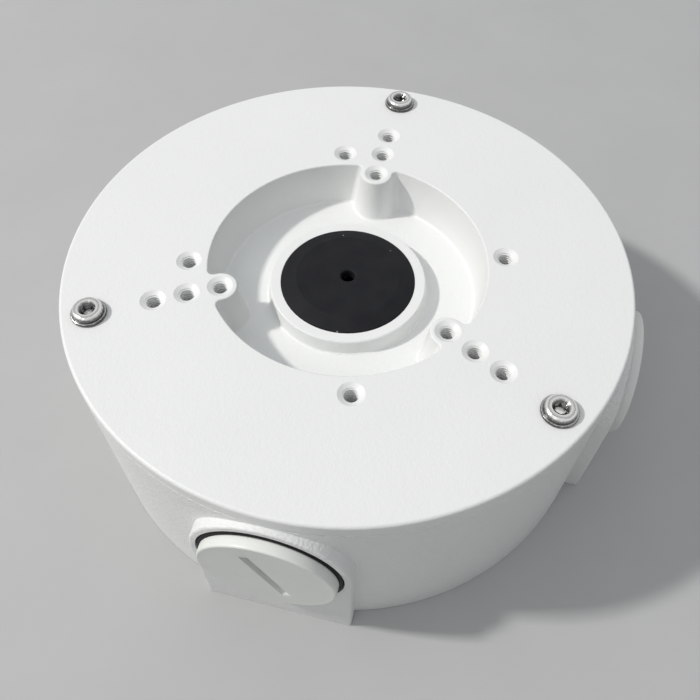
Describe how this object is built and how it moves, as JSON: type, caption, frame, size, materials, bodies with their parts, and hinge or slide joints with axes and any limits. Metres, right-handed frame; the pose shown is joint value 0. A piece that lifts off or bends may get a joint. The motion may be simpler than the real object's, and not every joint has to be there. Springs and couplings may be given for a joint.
{
  "type": "camera junction box",
  "caption": "Round cast surface box for wall or ceiling cameras: pocketed cover with tapped camera holes and a cable grommet, two plugged conduit entries.",
  "frame": {"origin": "centre of the wall face, on the axis of the drum and of the rear cable entry", "axes": "+Z out of the wall to the camera; the two plugged conduit entries face -Y and +X; the first radial row of tapped holes points to +Y"},
  "size_m": [0.138, 0.138, 0.0547],
  "materials": {
    "cast_white": "fine textured powder coat",
    "seal_black": "matt moulded rubber",
    "oring_black": "smooth rubber",
    "plug_white": "smooth moulded plastic",
    "retainer_plastic": "moulded nylon",
    "screw_steel": "bright stainless",
    "washer_steel": "dull stainless",
    "earth_steel": "zinc plated"
  },
  "bodies": {
    "root": {"body": "cast_white", "cover": "cast_white", "cover_gasket": "seal_black", "cable_grommet": "seal_black", "earth_screw": "earth_steel", "earth_toothed_washer": "earth_steel", "earth_flat_washer": "earth_steel", "cover_screw_1": "screw_steel", "cover_washer_1": "washer_steel", "screw_retainer_1": "retainer_plastic", "cover_screw_2": "screw_steel", "cover_washer_2": "washer_steel", "screw_retainer_2": "retainer_plastic", "cover_screw_3": "screw_steel", "cover_washer_3": "washer_steel", "screw_retainer_3": "retainer_plastic"},
    "front_seal": {"conduit_oring_front": "oring_black"},
    "front_plug": {"conduit_plug_front": "plug_white"},
    "right_seal": {"conduit_oring_right": "oring_black"},
    "right_plug": {"conduit_plug_right": "plug_white"}
  },
  "joints": [
    {"name": "front_plug_turn", "type": "hinge", "parent": "front_seal", "child": "front_plug", "pos_m": [0, 0, 0.0302], "axis": [0, -1, 0], "range_deg": [0, 2160]},
    {"name": "front_plug_travel", "type": "slide", "parent": "root", "child": "front_seal", "axis": [0, -1, 0], "range_m": [0, 0.01091]},
    {"name": "right_plug_turn", "type": "hinge", "parent": "right_seal", "child": "right_plug", "pos_m": [0, 0, 0.0302], "axis": [1, 0, 0], "range_deg": [0, 2160]},
    {"name": "right_plug_travel", "type": "slide", "parent": "root", "child": "right_seal", "axis": [1, 0, 0], "range_m": [0, 0.01091]}
  ],
  "couplings": [
    {"joint": "front_plug_travel", "follows": "front_plug_turn", "m_per_rad": 0.00028875},
    {"joint": "right_plug_travel", "follows": "right_plug_turn", "m_per_rad": 0.00028875}
  ]
}
